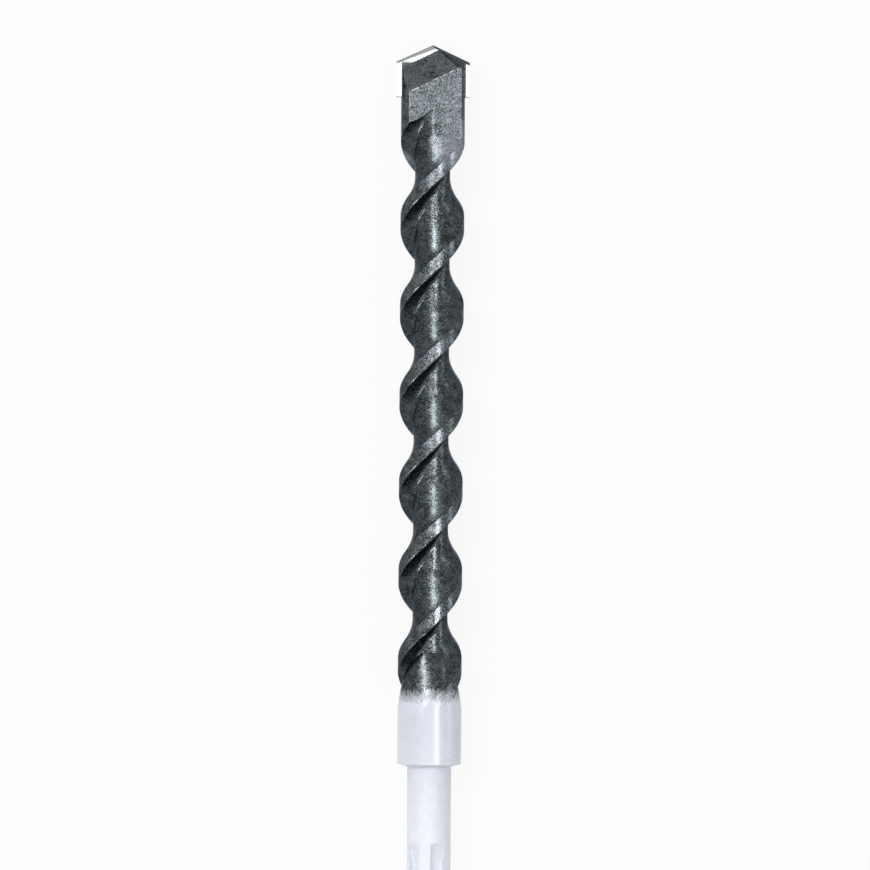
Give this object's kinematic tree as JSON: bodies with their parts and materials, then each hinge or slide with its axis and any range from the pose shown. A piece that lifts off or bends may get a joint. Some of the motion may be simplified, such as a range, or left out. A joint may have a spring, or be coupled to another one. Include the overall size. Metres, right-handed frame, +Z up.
{
  "type": "rotary hammer drill bit",
  "caption": "Masonry drill bit for a rotary hammer: twin-flute steel helix, brazed carbide chisel point and a slotted round shank with a shouldered collar.",
  "frame": {"origin": "centre of the striking face at the end of the shank, on the drill axis", "axes": "+Y along the drill axis from the striking face to the point; the bit lies on its lands, +Z up, towards the left cutting edge's rake face with the point away from the viewer, +X to the right"},
  "size_m": [0.03, 0.4, 0.0262],
  "materials": {
    "drill_body": "shot-blasted dark steel, ground bright from the collar down",
    "carbide_insert": "ground hard metal"
  },
  "bodies": {
    "root": {"drill_body": "drill_body", "carbide_insert": "carbide_insert"}
  },
  "joints": []
}
